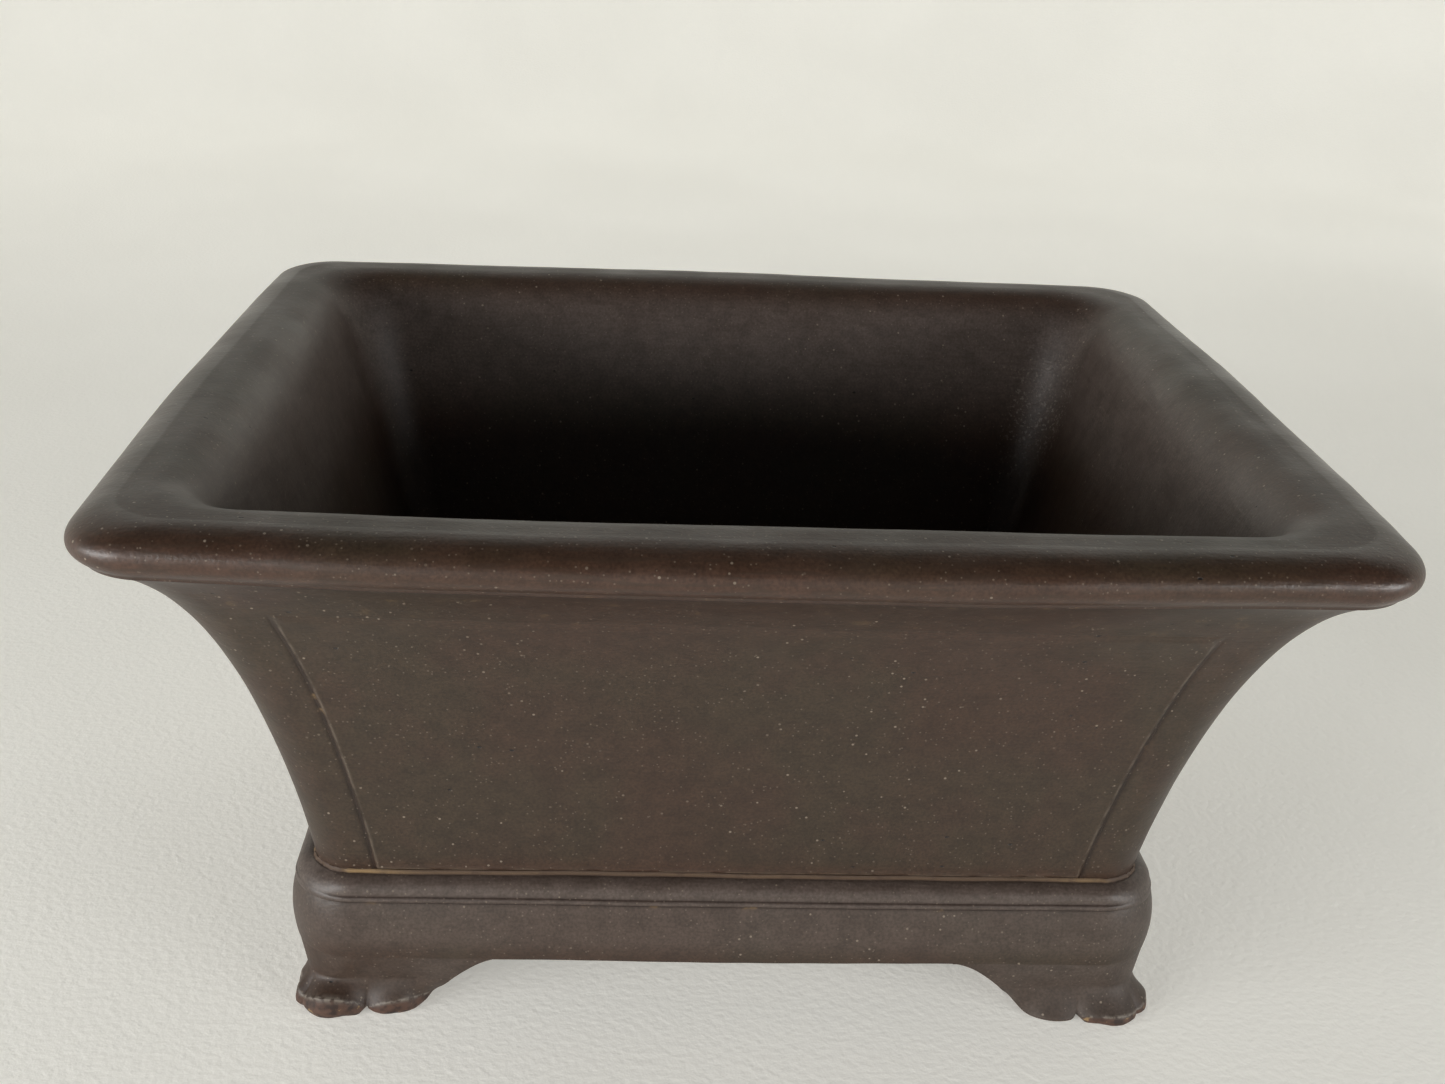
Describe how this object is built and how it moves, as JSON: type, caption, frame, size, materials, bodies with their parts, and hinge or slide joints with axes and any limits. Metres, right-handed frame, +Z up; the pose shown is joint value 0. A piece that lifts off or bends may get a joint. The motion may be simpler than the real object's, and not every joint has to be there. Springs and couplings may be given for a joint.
{
  "type": "bonsai pot",
  "caption": "Deep rectangular bonsai pot of brown stoneware with a flared wall, rolled rim, swelling base moulding and lobed corner feet.",
  "frame": {"origin": "on the ground under the middle of the pot, between the four feet", "axes": "+Z up, +X along the long side of the rim, -Y towards the front"},
  "size_m": [0.4566, 0.397, 0.223],
  "materials": {
    "body_clay": "satin, burnished unglazed stoneware",
    "floor_clay": "matte, unburnished stoneware",
    "foot_clay": "satin, worn to matte at the soles",
    "ochre_slip": "matte slip line"
  },
  "bodies": {
    "root": {"floor_slab": "floor_clay", "foot_back_left": "foot_clay", "foot_back_right": "foot_clay", "foot_front_left": "foot_clay", "foot_front_right": "foot_clay", "lip_back": "body_clay", "lip_front": "body_clay", "lip_left": "body_clay", "lip_right": "body_clay", "panel_back": "body_clay", "panel_front": "body_clay", "panel_left": "body_clay", "panel_right": "body_clay", "skirt_back": "body_clay", "skirt_front": "body_clay", "skirt_left": "body_clay", "skirt_right": "body_clay", "slip_seam": "ochre_slip", "waist_bead": "body_clay", "wall_back": "body_clay", "wall_front": "body_clay", "wall_left": "body_clay", "wall_right": "body_clay"}
  },
  "joints": []
}
